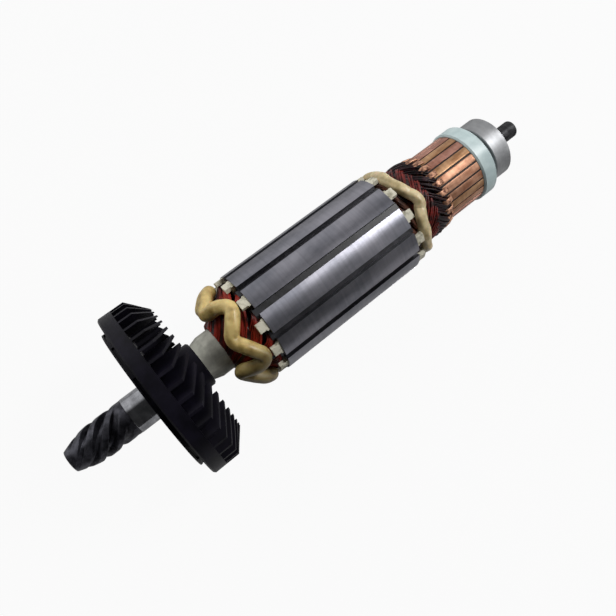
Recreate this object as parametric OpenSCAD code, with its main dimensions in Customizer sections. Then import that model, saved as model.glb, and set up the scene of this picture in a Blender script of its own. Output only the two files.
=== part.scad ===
// Motor armature: a steel shaft with a helical pinion, a moulded fan, a wound 12 slot lamination stack,
// a 24 bar commutator and a rear ball bearing. All sizes are in millimetres.
// The shaft axis is X. The pinion points to -X, the commutator to +X, and Z is up.
// The origin is on the shaft axis at the middle of the front bearing seat.
// Every piece is drawn along its own Z axis and laid down along X by the module lay().

/* [Shaft] */
// Diameter of the ground front bearing seat
seat_d = 12; // [10:0.5:14]
// Length of the front bearing seat
seat_len = 8; // [6:0.5:12]
// Diameter of the shaft under the fan, sleeve and commutator
core_d = 10; // [9:0.5:10.5]
// Diameter of the journal in the rear bearing
journal_d = 8; // [7:0.5:8.5]
// Diameter of the plain stub behind the rear bearing
stub_d = 6.1; // [4:0.1:6.8]
// Length of the stub that stands out of the rear bearing
stub_len = 12.4; // [6:0.2:20]
// Chamfer on the shaft's turned edges
shaft_chamfer = 0.4; // [0.2:0.1:0.6]

/* [Pinion] */
// Number of teeth cut on the shaft
pinion_teeth = 5; // [5:1:8]
// Length from the tip to the front bearing seat
pinion_len = 20.5; // [18:0.5:28]
// How much smaller in diameter the teeth are than the bearing seat
pinion_relief = 0.2; // [0.1:0.1:0.6]
// Depth of the tooth gaps
tooth_depth = 2; // [1.2:0.1:2.2]
// Axial length of one full turn of a tooth
pinion_lead = 28.6; // [28:0.2:50]
// Angle at which the first tooth starts at the tip
pinion_phase = 33; // [-36:1:36]
// Length of the rounded lead-in at the tip
nose_len = 10; // [6:0.5:14]
// Diameter of the flat face at the tip
nose_d = 7; // [6:0.2:7.6]
// Length over which the tooth gaps run out towards the seat
runout_len = 8; // [6:0.5:13]

/* [Fan] */
// Outer diameter of the rim
fan_d = 57.6; // [52:0.2:62]
// Outer diameter of the step ring on the pinion side
step_ring_d = 48.6; // [40:0.2:50]
// Wall of the step ring
step_ring_wall = 1.7; // [1.2:0.1:2.5]
// How far the step ring stands proud of the rim's front face
step_ring_proud = 1.6; // [0.8:0.1:2.4]
// Number of windows round the step ring
step_windows = 12; // [8:1:16]
// Wall of the rim skirt
rim_wall = 1.6; // [1.2:0.1:2.4]
// Length of the solid band of the rim
rim_band = 4.6; // [3:0.1:6]
// Thickness of the back plate
plate_t = 1.8; // [1.2:0.1:2.4]
// Diameter of the hub
hub_d = 15.3; // [14:0.1:18]
// Length of the hub
hub_len = 18.1; // [16.5:0.1:24]
// How far the step ring stands in front of the hub's face
step_ring_lead = 0.2; // [0:0.1:1]
// Number of ribs between hub and step ring on the pinion side
hub_ribs = 6; // [4:1:10]
// Thickness of these ribs
rib_t = 1.4; // [1:0.1:2]
// How far these ribs lie behind the hub's face
rib_drop = 1.4; // [0.6:0.1:2]
// Number of blades
blade_count = 41; // [30:1:44]
// Thickness of a blade
blade_t = 0.7; // [0.5:0.05:0.9]
// Diameter of the circle on which the blades' inner ends lie
blade_inner_d = 44.6; // [43.5:0.2:48]
// Nearest distance from the axis to the line that a blade lies on
blade_offset = 17; // [16:0.1:21]
// Radius of the blades' gentle bow
blade_bow = 200; // [120:10:400]
// Length of the blades' straight outer edge on the rim
blade_edge = 4.4; // [3:0.1:6]
// Length of the blades' sloping edge beyond the straight one
blade_slope = 5.4; // [3:0.1:6]

/* [Insulating sleeve] */
// Outer diameter of the sleeve between shaft and stack
sleeve_d = 14.7; // [13:0.1:16]
// Length of sleeve between the fan and the stack
sleeve_free = 20.6; // [18:0.1:26]
// Length of sleeve behind the stack
sleeve_rear = 8; // [5:0.5:10]
// Length of the sleeve's tapered front end
sleeve_taper = 3; // [1:0.5:5]
// How much the radius shrinks over that end
sleeve_taper_depth = 0.9; // [0.2:0.1:1.2]

/* [Lamination stack] */
// Outer diameter of the stack
stack_d = 35.4; // [34:0.1:38]
// Length of the stack
stack_len = 54.4; // [40:0.2:70]
// Width of the slot mouths
slot_mouth = 2.2; // [1.8:0.1:2.6]
// Thickness of steel between the sleeve and the slots
yoke_t = 1.85; // [1.6:0.05:2.6]
// Width of a slot at its widest
slot_w = 5; // [4.4:0.1:5.2]
// Width of the slot's rounded bottom
slot_bottom_w = 3; // [2.4:0.1:3.2]
// Thickness of the tooth tips beside the mouth
tooth_tip = 1.5; // [1.2:0.1:1.8]

/* [Slot insulation] */
// Thickness of the slot liners
liner_t = 0.3; // [0.2:0.05:0.4]
// How far the liners stand out of the stack
liner_proud = 0.5; // [0.2:0.1:0.5]
// Thickness of the slot wedges
wedge_t = 0.8; // [0.6:0.1:1]
// How far the wedges stand out of the stack
wedge_proud = 1; // [0.4:0.1:1.4]
// How far the wedges lie below the tooth tips
wedge_drop = 0.4; // [0.2:0.1:0.6]

/* [End insulators] */
// Thickness of the end insulators
end_t = 0.9; // [0.7:0.1:1.2]
// Width of the finger on each tooth
finger_w = 3.1; // [2.2:0.1:3.6]
// Length that a finger stands out of the stack
finger_len = 3; // [2:0.1:3.4]
// Thickness of a finger
finger_t = 1.4; // [1:0.1:1.6]
// How far the fingers lie below the stack's outside
finger_drop = 0.35; // [0.2:0.05:0.6]

/* [Winding] */
// Length of the winding head on the fan side
front_head_len = 13.2; // [13:0.1:16]
// Length of the winding head on the commutator side
rear_head_len = 7.6; // [6.6:0.1:9]
// Radius of the front head where it leaves the stack
head_r = 13.2; // [12:0.1:13.4]
// Depth of the valleys between the coils
coil_relief = 0.55; // [0.3:0.05:0.8]
// Angle through which the coils sweep across a head
coil_sweep = 75; // [40:5:100]

/* [Lacing] */
// Diameter of the lacing cord
cord_d = 4; // [3.4:0.1:4]
// Gap between the cord and the coils under it
cord_gap = 0.2; // [0.15:0.05:0.3]

/* [Commutator] */
// Diameter of the brush track
comm_d = 24.9; // [24:0.1:26]
// Length of a bar with its riser hook
bar_len = 18.8; // [16:0.1:24]
// Radial height of the bars
bar_h = 3.6; // [3:0.1:4]
// Number of bars
bar_count = 24; // [20:2:24]
// Width of the slit between two bars
slit_w = 0.5; // [0.4:0.05:0.7]
// Depth of the slit above the mica
slit_depth = 0.8; // [0.5:0.1:1.2]
// Length of the riser hooks
hook_len = 2.6; // [2:0.1:3.4]
// How far the hooks stand above the brush track
hook_h = 0.9; // [0.6:0.1:1.2]
// Distance from the stack to the bars
lead_gap = 16.2; // [15:0.1:20]
// Radius at the middle of the leads
lead_r = 13.5; // [12.8:0.1:13.8]
// How much that radius falls towards the bars and the winding
lead_fall = 1.8; // [1.2:0.1:2.2]
// How far the moulded hub stands out before the bars
comm_hub_proud = 1.2; // [0.5:0.1:1.6]

/* [End ring] */
// Outer diameter of the pale end ring
ring_d = 26.3; // [25.2:0.1:28]
// Length of the end ring
ring_len = 5.7; // [4:0.1:8]
// Chamfer on both edges of the end ring
ring_chamfer = 0.5; // [0.2:0.1:0.8]
// Gap between end ring and bearing
bearing_gap = 2.1; // [1:0.1:4]

/* [Rear bearing] */
// Outside diameter of the bearing
bearing_d = 22; // [21:0.5:24]
// Width of the bearing
bearing_w = 7; // [6.5:0.5:9]
// Number of balls
ball_count = 7; // [6:1:7]
// Diameter of the balls
ball_d = 3.9; // [3.5:0.1:4]
// Play between a ball and its track
ball_play = 0.05; // [0.03:0.01:0.08]
// Thickness of the bearing shields
shield_t = 0.4; // [0.3:0.05:0.5]
// How far the shields lie inside the bearing's faces
shield_inset = 0.3; // [0.2:0.05:0.4]
// Width of the ledge in the outer ring that carries a shield
shield_ledge = 0.7; // [0.5:0.05:0.8]
// Gap between shield and inner ring
shield_gap = 0.35; // [0.25:0.05:0.4]

/* [Hidden] */
$fn = 96;
bars_are = [for (i = [1:bar_count]) str("commutator_bar_", i)];
slot_count = 12;
wedges_are = [for (i = [1:slot_count]) str("slot_wedge_", i)];

// Places along the shaft, one after another
fan_z = seat_len / 2;
fan_end_z = fan_z + hub_len;
stack_z = fan_end_z + sleeve_free;
stack_end_z = stack_z + stack_len;
bar_z = stack_end_z + lead_gap;
bar_end_z = bar_z + bar_len;
bearing_z = bar_end_z + ring_len + bearing_gap;
bearing_end_z = bearing_z + bearing_w;
shaft_end_z = bearing_end_z + stub_len;
tip_z = -seat_len / 2 - pinion_len;

// The first slot sets every angle on the wound parts
slot_pitch = 360 / slot_count;
slot_angle = 11.5;
press_gap = 0.02;
slot_play = 0.06;
sleeve_play = 0.1;
core_bore_r = core_d / 2 + press_gap;

// Pinion
pinion_r = (seat_d - pinion_relief) / 2;
root_r = pinion_r - tooth_depth;
tooth_points = 12;
pinion_rings = 28;
pinion_overlap = 0.5;
journal_overrun = 0.6;

// Fan
step_face_z = fan_z - step_ring_lead;
rim_face_z = step_face_z + step_ring_proud;
fan_r = fan_d / 2;
floor_z = rim_face_z + rim_band;
blade_edge_z = floor_z + blade_edge;
blade_tip_z = blade_edge_z + blade_slope;
plate_z = floor_z - plate_t;
rim_chamfer = 0.5;
hub_fillet = 2;
step_r = step_ring_d / 2;
step_inner_r = step_r - step_ring_wall;
window_share = 0.62;
window_roof = 0.5;
window_turn = 10;
blade_root = 0.4;

// Winding heads
head_inner_r = sleeve_d / 2 + sleeve_play;
head_play = 0.1;
lead_play = 0.25;
lead_relief = 0.4;
lead_sweep = 45;
cord_r = cord_d / 2;
head_steps = 96;

// Commutator and bearing
comm_r = comm_d / 2;
bar_inner_r = comm_r - bar_h;
bar_pitch = 360 / bar_count;
ball_path_r = (bearing_d + journal_d) / 4;
land_share = 0.37;
inner_land_r = ball_path_r - land_share * ball_d;
outer_land_r = ball_path_r + land_share * ball_d;
shield_seat_r = outer_land_r + shield_ledge;
shield_depth = shield_inset + shield_t;
track_r = ball_d / 2 + ball_play;
ring_edge = 0.3;
cage_t = 1.2;
cage_rim = 0.5;
pocket_play = 0.08;

// ---------- helpers ----------

// Lays a piece that was drawn along Z down along X
module lay() {
    rotate([0, 90, 0]) children();
}

// A tube from z to z + length
module tube(z, length, outer_r, inner_r) {
    translate([0, 0, z]) difference() {
        cylinder(r = outer_r, h = length);
        translate([0, 0, -1]) cylinder(r = inner_r, h = length + 2);
    }
}

// A turned step of the shaft with a chamfer at both ends
module step(z, length, r, c) {
    translate([0, 0, z])
        rotate_extrude()
            polygon([[0, 0], [r - c, 0], [r, c], [r, length - c], [r - c, length], [0, length]]);
}

// Smooth rise from 0 to 1
function ease(t) = let (u = min(max(t, 0), 1)) u * u * (3 - 2 * u);

// A closed mesh through rings of points that all have the same number of points
module rings_solid(rings) {
    n = len(rings[0]);
    m = len(rings);
    faces = concat(
        [[for (i = [n - 1:-1:0]) i]],
        [for (k = [0:m - 2], i = [0:n - 1])
            let (a = k * n + i, b = k * n + (i + 1) % n) [b, a + n, a]],
        [for (k = [0:m - 2], i = [0:n - 1])
            let (a = k * n + i, b = k * n + (i + 1) % n) [b + n, a + n, b]],
        [[for (i = [0:n - 1]) (m - 1) * n + i]]);
    polyhedron(points = [for (ring = rings) for (p = ring) p], faces = faces);
}

// ---------- shaft with its pinion ----------

// Height of the tooth form over the root, 0 to 1, at a place t from -0.5 to 0.5 across one tooth
function tooth_form(t) = 1 - ease((abs(t) - 0.18) / 0.2);

// Radius of the pinion at a distance s from its tip and a place t across a tooth
function pinion_radius(s, t) =
    let (nose = nose_d / 2 + (pinion_r - nose_d / 2) * sin(90 * min(s / nose_len, 1)),
         root = root_r + tooth_depth * ease((s - pinion_len + runout_len) / runout_len))
    min(nose, root + (pinion_r - root) * tooth_form(t));

// One ring of the pinion; the teeth are left handed
function pinion_ring(s) =
    let (n = pinion_teeth * tooth_points)
    [for (i = [0:n - 1])
        let (t = i / tooth_points - floor(i / tooth_points) - 0.5,
             r = pinion_radius(s, t),
             a = 360 * i / n - 360 * s / pinion_lead + pinion_phase)
        [r * cos(a), r * sin(a), tip_z + s]];

module pinion() {
    length = pinion_len + pinion_overlap;
    rings_solid([for (k = [pinion_rings:-1:0]) pinion_ring(length * k / pinion_rings)]);
}

module shaft() {
    color("dimgray") lay() {
        pinion();
        step(-seat_len / 2, seat_len, seat_d / 2, shaft_chamfer);
        translate([0, 0, fan_z - shaft_chamfer]) cylinder(d = core_d, h = bearing_z - fan_z + shaft_chamfer);
        translate([0, 0, bearing_z - 1]) cylinder(d = journal_d, h = bearing_w + 1 + journal_overrun);
        step(bearing_z, shaft_end_z - bearing_z, stub_d / 2, shaft_chamfer);
    }
}

// ---------- fan ----------

// One blade seen along the shaft: a strip of a big circle, cut to the blade ring
module blade_outline() {
    centre = blade_bow + blade_offset;
    intersection() {
        translate([centre, 0]) difference() {
            circle(r = blade_bow + blade_t / 2);
            circle(r = blade_bow - blade_t / 2);
        }
        square([fan_r + 1, fan_r + 1]);
        difference() {
            circle(r = fan_r);
            circle(d = blade_inner_d);
        }
    }
}

module blades() {
    difference() {
        translate([0, 0, floor_z - blade_root])
            linear_extrude(height = blade_tip_z - floor_z + blade_root)
                for (i = [0:blade_count - 1]) rotate(i * 360 / blade_count) blade_outline();
        // The sloping outer edge of all the blades
        rotate_extrude()
            polygon([[fan_r, blade_edge_z], [blade_inner_d / 2, blade_tip_z],
                [blade_inner_d / 2, blade_tip_z + 1], [fan_r + 1, blade_tip_z + 1], [fan_r + 1, blade_edge_z]]);
    }
}

// Section of the fan's body: hub, back plate, rim skirt and step ring
module fan_section() {
    hub_r = hub_d / 2;
    polygon([[core_bore_r, fan_z], [hub_r, fan_z], [hub_r, plate_z],
        [step_inner_r, plate_z], [step_inner_r, step_face_z], [step_r, step_face_z],
        [step_r, plate_z], [fan_r - rim_wall, plate_z], [fan_r - rim_wall, rim_face_z],
        [fan_r - rim_chamfer, rim_face_z], [fan_r, rim_face_z + rim_chamfer], [fan_r, floor_z],
        [hub_r + hub_fillet, floor_z], [hub_r, floor_z + hub_fillet], [hub_r, fan_end_z - rim_chamfer],
        [hub_r - rim_chamfer, fan_end_z], [core_bore_r, fan_end_z]]);
}

// Pockets in the outside of the step ring, half as deep as its wall
module step_ring_windows() {
    window_w = window_share * PI * step_ring_d / step_windows;
    for (i = [0:step_windows - 1])
        rotate(i * 360 / step_windows + window_turn)
            translate([step_r - step_ring_wall / 2, -window_w / 2, step_face_z + window_roof])
                cube([step_ring_wall, window_w, plate_z - step_face_z - window_roof]);
}

module fan_ribs() {
    rib_z = fan_z + rib_drop;
    for (i = [0:hub_ribs - 1])
        rotate(i * 360 / hub_ribs)
            translate([hub_d / 2 - rib_t / 2, -rib_t / 2, rib_z])
                cube([step_inner_r - hub_d / 2 + rib_t, rib_t, plate_z - rib_z + plate_t / 2]);
}

module fan() {
    color([0.09, 0.09, 0.1]) lay() {
        difference() {
            rotate_extrude() fan_section();
            step_ring_windows();
        }
        fan_ribs();
        blades();
    }
}

// ---------- sleeve ----------

module insulating_sleeve() {
    r = sleeve_d / 2;
    end = stack_end_z + sleeve_rear;
    color([0.58, 0.58, 0.55]) lay()
        rotate_extrude()
            polygon([[core_bore_r, fan_end_z], [r - sleeve_taper_depth, fan_end_z],
                [r, fan_end_z + sleeve_taper], [r, end], [core_bore_r, end]]);
}

// ---------- lamination stack ----------

// Outline of one slot, narrowed by an amount g all round, with or without its mouth
module slot_outline(g, mouth) {
    wide_r = slot_w / 2 - g;
    low_r = slot_bottom_w / 2 - g;
    wide_x = stack_d / 2 - tooth_tip - slot_w / 2;
    low_x = sleeve_d / 2 + yoke_t + slot_bottom_w / 2;
    // The sides are the common tangents of the wide and the narrow circle
    lean = asin((slot_w - slot_bottom_w) / 2 / (wide_x - low_x));
    translate([wide_x, 0]) circle(r = wide_r);
    translate([low_x, 0]) circle(r = low_r);
    polygon([
        [low_x - low_r * sin(lean), low_r * cos(lean)],
        [wide_x - wide_r * sin(lean), wide_r * cos(lean)],
        [wide_x - wide_r * sin(lean), -wide_r * cos(lean)],
        [low_x - low_r * sin(lean), -low_r * cos(lean)]]);
    if (mouth) translate([wide_x, -slot_mouth / 2]) square([stack_d, slot_mouth]);
}

module each_slot() {
    for (i = [0:slot_count - 1]) rotate(slot_angle + i * slot_pitch) children();
}

module lamination_stack() {
    color([0.5, 0.52, 0.56]) lay()
        translate([0, 0, stack_z])
            linear_extrude(height = stack_len)
                difference() {
                    circle(d = stack_d);
                    circle(d = sleeve_d + 2 * press_gap);
                    each_slot() slot_outline(0, true);
                }
}

// ---------- slot insulation ----------

// Below this radius the coil sides lie, above it the wedges
wedge_low_r = stack_d / 2 - tooth_tip - wedge_t - wedge_drop;

module slot_liner() {
    length = stack_len + 2 * liner_proud;
    translate([0, 0, stack_z - liner_proud]) difference() {
        linear_extrude(height = length) slot_outline(press_gap, false);
        translate([0, 0, -1]) linear_extrude(height = length + 2) slot_outline(liner_t, false);
        // The liner ends below the wedge
        translate([wedge_low_r, -slot_w, -1]) cube([slot_w, 2 * slot_w, length + 2]);
    }
}

module slot_liners() {
    color([0.75, 0.72, 0.6]) lay() each_slot() slot_liner();
}

module slot_wedge(i) {
    color([0.13, 0.13, 0.14]) lay()
        rotate(slot_angle + (i - 1) * slot_pitch)
            translate([0, 0, stack_z - wedge_proud])
                linear_extrude(height = stack_len + 2 * wedge_proud)
                    intersection() {
                        slot_outline(slot_play, false);
                        translate([wedge_low_r + slot_play, -slot_w]) square([wedge_t, 2 * slot_w]);
                    }
}

// ---------- end insulators ----------

// Drawn with the face that lies on the stack at z = 0 and the fingers pointing to +Z
module end_insulator() {
    finger_r = stack_d / 2 - finger_drop;
    translate([0, 0, press_gap])
        linear_extrude(height = end_t)
            difference() {
                circle(r = finger_r);
                circle(r = sleeve_d / 2 + sleeve_play);
                each_slot() slot_outline(-slot_play, true);
                each_slot()
                    translate([stack_d / 2 - tooth_tip - slot_w / 2, -slot_w / 2 - slot_play])
                        square([slot_w, slot_w + 2 * slot_play]);
            }
    intersection() {
        translate([0, 0, press_gap])
            linear_extrude(height = finger_len)
                difference() {
                    circle(r = finger_r);
                    circle(r = finger_r - finger_t);
                }
        for (i = [0:slot_count - 1])
            rotate(slot_angle + (i + 0.5) * slot_pitch)
                translate([0, -finger_w / 2, 0]) cube([stack_d, finger_w, finger_len + 1]);
    }
}

module front_end_insulator() {
    color([0.86, 0.85, 0.78]) lay()
        translate([0, 0, stack_z]) mirror([0, 0, 1]) end_insulator();
}

module rear_end_insulator() {
    color([0.86, 0.85, 0.78]) lay()
        translate([0, 0, stack_end_z]) end_insulator();
}

// ---------- winding ----------

// One ring of a winding head: count coils lie side by side and sweep round as they go
function coil_ring(z, r, relief, count, turn) =
    [for (i = [0:head_steps - 1])
        let (a = 360 * i / head_steps,
             bump = r - relief * (1 - abs(cos(count / 2 * (a - turn)))))
        [bump * cos(a), bump * sin(a), z]];

// A head is a ring body; its outside follows the list of [length, radius] pairs
module winding_head(z, direction, profile) {
    total = profile[len(profile) - 1][0];
    difference() {
        rings_solid([for (k = [len(profile) - 1:-1:0])
            let (p = profile[k])
            coil_ring(z + direction * p[0], p[1], coil_relief * ease(p[0] / 2), slot_count,
                slot_angle + slot_pitch / 2 + coil_sweep * p[0] / total)]);
        translate([0, 0, z - total - 1]) cylinder(r = head_inner_r, h = 2 * total + 2);
    }
}

// The coil sides in the slots, long enough to reach into both heads
module coil_sides() {
    reach = head_start + 0.5;
    translate([0, 0, stack_z - reach])
        linear_extrude(height = stack_len + 2 * reach)
            difference() {
                each_slot() slot_outline(liner_t + press_gap, false);
                each_slot() translate([wedge_low_r, -slot_w]) square([slot_w, 2 * slot_w]);
            }
}

// Heads as [distance from the head's start, radius]; both swell a little and then fall to their ends
head_start = end_t + head_play;
front_free = front_head_len - head_start;
rear_free = rear_head_len - head_start;
front_profile = [[0, head_r - 0.6], [0.11 * front_free, head_r], [0.3 * front_free, head_r + 0.5],
    [0.48 * front_free, head_r], [0.63 * front_free, head_r - 1.4], [0.78 * front_free, head_r - 3],
    [0.9 * front_free, head_r - 4.2], [front_free, head_r - 4.8]];
rear_profile = [[0, head_r - 0.6], [0.22 * rear_free, head_r], [0.52 * rear_free, head_r + 0.2],
    [0.78 * rear_free, head_r - 0.4], [rear_free, head_r - 1.6]];

module winding() {
    color([0.5, 0.12, 0.09]) lay() {
        mirror([0, 0, 1]) winding_head(head_start - stack_z, 1, front_profile);
        winding_head(stack_end_z + head_start, 1, rear_profile);
        coil_sides();
    }
}

// ---------- lacing ----------

// Catmull-Rom point between b and c
function spline(a, b, c, d, t) =
    0.5 * (2 * b + (c - a) * t + (2 * a - 5 * b + 4 * c - d) * t * t + (3 * b - 3 * c + d - a) * t * t * t);

// Turns a place [z, angle, radius] on the head into a point
function on_head(p) = [p[2] * cos(p[1] + 180), p[2] * sin(p[1] + 180), p[0]];

function unit(v) = v / norm(v);

// Radius at which the cord's middle runs at a distance s from the stack: the cord rests on the
// surface like a ball that rolls along it
function resting_r(s, rear) =
    cord_gap + max([for (u = [-1:0.25:1])
        surface_r(s + u * cord_r, rear) + cord_r * sqrt(1 - u * u)]);

// Radius of what lies under the cord, at a distance s from the stack
function surface_r(s, rear) =
    rear ? (s < rear_head_len ? lookup(s - head_start, rear_profile) : leads_r((s - leads_start) / leads_len))
        : lookup(s - head_start, front_profile);

// A closed cord through places [distance from the stack, angle round the shaft]
module closed_cord(places, rear, steps, sides) {
    m = len(places);
    n = m * steps;
    path = [for (k = [0:m - 1], j = [0:steps - 1])
        let (a = places[(k + m - 1) % m] - (k == 0 ? [0, 360] : [0, 0]),
             b = places[k],
             c = places[(k + 1) % m] + (k == m - 1 ? [0, 360] : [0, 0]),
             d = places[(k + 2) % m] + (k >= m - 2 ? [0, 360] : [0, 0]),
             p = spline(a, b, c, d, j / steps),
             z = rear ? stack_end_z + p[0] : stack_z - p[0])
        on_head([z, p[1], resting_r(p[0], rear)])];
    points = [for (k = [0:n - 1])
        let (t = unit(path[(k + 1) % n] - path[(k + n - 1) % n]),
             out = unit([path[k][0], path[k][1], 0]),
             side = unit(cross(t, out)),
             up = cross(side, t))
        for (i = [0:sides - 1])
            path[k] + cord_r * (cos(360 * i / sides) * up + sin(360 * i / sides) * side)];
    polyhedron(points = points, faces = concat(
        [for (k = [0:n - 1], i = [0:sides - 1])
            [k * sides + i, ((k + 1) % n) * sides + i, k * sides + (i + 1) % sides]],
        [for (k = [0:n - 1], i = [0:sides - 1])
            [k * sides + (i + 1) % sides, ((k + 1) % n) * sides + i,
                ((k + 1) % n) * sides + (i + 1) % sides]]));
}

// The cord's route over the front head: distance from the stack, angle round the shaft
front_route = [
    [5.4, -66], [11.7, -50], [5.3, -11], [9.8, 22], [5.3, 57], [12.9, 72], [6, 104], [11, 126],
    [5.4, 150], [11, 176], [5.4, 202], [11, 228], [5.4, 250], [11, 272]];

// The cord's route over the rear head, in the same way
rear_route = [
    [5.4, -66], [8.2, -37], [6, -5], [8.8, 19], [7.6, 36], [5.4, 54], [5.4, 76], [8.2, 105],
    [5.4, 135], [8.2, 165], [5.4, 195], [8.2, 225], [5.4, 250], [8.2, 272]];

module front_lacing() {
    color([0.83, 0.77, 0.58]) lay() closed_cord(front_route, false, 5, 10);
}

module rear_lacing() {
    color([0.83, 0.77, 0.58]) lay() closed_cord(rear_route, true, 5, 10);
}

// ---------- commutator ----------

// The leads lie between the rear head and the bars; both places count from the stack
leads_start = rear_head_len + lead_play;
leads_len = lead_gap - leads_start - lead_play;

// Outer radius of the leads at a share u of their length
function leads_r(u) = lead_r - lead_fall * pow(2 * u - 0.9, 2);

module commutator_leads() {
    z = stack_end_z + leads_start;
    rings = 8;
    color([0.28, 0.09, 0.08]) lay()
        difference() {
            rings_solid([for (k = [rings:-1:0])
                let (u = k / rings)
                coil_ring(z + leads_len * u, leads_r(u), lead_relief, bar_count, slot_angle + lead_sweep * u)]);
            translate([0, 0, z - 1]) cylinder(r = core_bore_r, h = leads_len + 2);
            translate([0, 0, stack_end_z]) cylinder(r = head_inner_r, h = sleeve_rear + head_play);
            translate([0, 0, bar_z - comm_hub_proud - head_play])
                cylinder(r = bar_inner_r + head_play, h = comm_hub_proud + 1);
        }
}

module commutator_hub() {
    color([0.2, 0.12, 0.08]) lay()
        tube(bar_z - comm_hub_proud, bar_len + comm_hub_proud, bar_inner_r - press_gap, core_bore_r);
}

// One bar: a sector of a ring with a riser hook at the end that faces the winding
module commutator_bar(i) {
    reach = comm_r + hook_h + 1;
    half = reach * tan(bar_pitch / 2);
    // The slit is taken off both flanks square to the flank
    flank = slit_w / 2 / cos(bar_pitch / 2);
    color([0.76, 0.47, 0.3]) lay()
        rotate(slot_angle + (i - 0.5) * bar_pitch)
            intersection() {
                union() {
                    tube(bar_z, bar_len, comm_r, bar_inner_r);
                    tube(bar_z, hook_len, comm_r + hook_h, bar_inner_r);
                }
                translate([0, 0, bar_z - 1])
                    linear_extrude(height = bar_len + 2)
                        polygon([[flank / tan(bar_pitch / 2), 0], [reach, half - flank], [reach, flank - half]]);
            }
}

module mica_strips() {
    strip_r = comm_r - slit_depth;
    color([0.3, 0.22, 0.16]) lay()
        for (i = [0:bar_count - 1])
            rotate(slot_angle + i * bar_pitch)
                translate([bar_inner_r + press_gap, press_gap - slit_w / 2, bar_z])
                    cube([strip_r - bar_inner_r - press_gap, slit_w - 2 * press_gap, bar_len]);
}

// ---------- end ring ----------

module end_ring() {
    r = ring_d / 2;
    c = ring_chamfer;
    color([0.8, 0.88, 0.84]) lay()
        translate([0, 0, bar_end_z + press_gap])
            rotate_extrude()
                polygon([[core_bore_r, 0], [r - c, 0], [r, c], [r, ring_len - c], [r - c, ring_len],
                    [core_bore_r, ring_len]]);
}

// ---------- rear bearing ----------

ball_z = bearing_z + bearing_w / 2;

module ball_track() {
    translate([0, 0, ball_z])
        rotate_extrude()
            translate([ball_path_r, 0]) circle(r = track_r);
}

// A ring with a small chamfer on its outer edges
module bearing_race(outer_r, inner_r) {
    translate([0, 0, bearing_z])
        rotate_extrude()
            polygon([[inner_r, 0], [outer_r - ring_edge, 0], [outer_r, ring_edge],
                [outer_r, bearing_w - ring_edge], [outer_r - ring_edge, bearing_w], [inner_r, bearing_w]]);
}

module bearing_inner_ring() {
    color([0.8, 0.81, 0.83]) lay()
        difference() {
            bearing_race(inner_land_r, journal_d / 2 + press_gap / 2);
            ball_track();
        }
}

module bearing_outer_ring() {
    color([0.75, 0.76, 0.78]) lay()
        difference() {
            bearing_race(bearing_d / 2, outer_land_r);
            ball_track();
            translate([0, 0, bearing_z - 1]) cylinder(r = shield_seat_r, h = shield_depth + 1);
            translate([0, 0, bearing_end_z - shield_depth]) cylinder(r = shield_seat_r, h = shield_depth + 1);
        }
}

module bearing_shield(z) {
    color([0.7, 0.71, 0.73]) lay()
        tube(z, shield_t, shield_seat_r - press_gap, inner_land_r + shield_gap);
}

// The cage holds the balls in round pockets
module bearing_cage() {
    cage_w = ball_d + 2 * cage_rim;
    color([0.68, 0.6, 0.4]) lay()
        difference() {
            tube(ball_z - cage_w / 2, cage_w, ball_path_r + cage_t / 2, ball_path_r - cage_t / 2);
            for (i = [0:ball_count - 1])
                rotate(i * 360 / ball_count)
                    translate([ball_path_r - cage_t, 0, ball_z])
                        rotate([0, 90, 0]) cylinder(r = ball_d / 2 + pocket_play, h = 2 * cage_t);
        }
}

module bearing_balls() {
    color([0.85, 0.86, 0.88]) lay()
        for (i = [0:ball_count - 1])
            rotate(i * 360 / ball_count)
                translate([ball_path_r, 0, ball_z]) sphere(d = ball_d);
}

// ---------- the nodes ----------

shaft();
fan();
insulating_sleeve();
lamination_stack();
front_end_insulator();
rear_end_insulator();
slot_liners();
winding();
front_lacing();
rear_lacing();
commutator_leads();
commutator_hub();
mica_strips();
end_ring();
bearing_inner_ring();
bearing_outer_ring();
bearing_cage();
bearing_balls();
bearing_shield(bearing_z + shield_inset);  // bearing_front_shield
bearing_shield(bearing_end_z - shield_depth);  // bearing_rear_shield
for (i = [1:slot_count])
    slot_wedge(i);
for (i = [1:bar_count])
    commutator_bar(i);
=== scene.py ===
"""Motor armature, dressed over its fixed frame.

A steel shaft carries a helical pinion, a moulded fan, a wound stack of laminations, a copper
commutator and a rear ball bearing. The shaft axis is X, the pinion points to -X and Z is up.
Sizes in the dataclasses are millimetres and degrees. Angles round the shaft start at +Z and grow
towards -Y.
"""

from __future__ import annotations

import logging
import math
import random
from contextlib import contextmanager
from dataclasses import dataclass
from enum import Enum
from typing import Any, Callable, Iterable, Iterator, Sequence

import bpy
from mathutils import Matrix, Vector

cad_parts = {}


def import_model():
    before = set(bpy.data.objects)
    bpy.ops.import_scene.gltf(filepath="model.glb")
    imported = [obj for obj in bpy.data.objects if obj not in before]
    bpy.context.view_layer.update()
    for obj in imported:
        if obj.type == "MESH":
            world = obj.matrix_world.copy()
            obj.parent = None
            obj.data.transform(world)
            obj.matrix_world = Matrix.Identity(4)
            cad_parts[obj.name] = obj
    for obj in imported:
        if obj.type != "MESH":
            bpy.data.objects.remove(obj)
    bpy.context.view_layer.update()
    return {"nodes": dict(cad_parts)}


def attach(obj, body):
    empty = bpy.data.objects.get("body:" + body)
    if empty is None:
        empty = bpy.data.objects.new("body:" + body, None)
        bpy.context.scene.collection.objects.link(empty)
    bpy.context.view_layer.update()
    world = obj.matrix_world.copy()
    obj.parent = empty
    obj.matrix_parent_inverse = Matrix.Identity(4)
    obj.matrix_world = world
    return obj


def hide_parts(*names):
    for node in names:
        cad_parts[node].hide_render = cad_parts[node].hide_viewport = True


LOG = logging.getLogger("armature")
MM = 0.001
# The body that every new piece rides on; the other bodies keep the frame's own pieces
ROTOR = "rotor"
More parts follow.
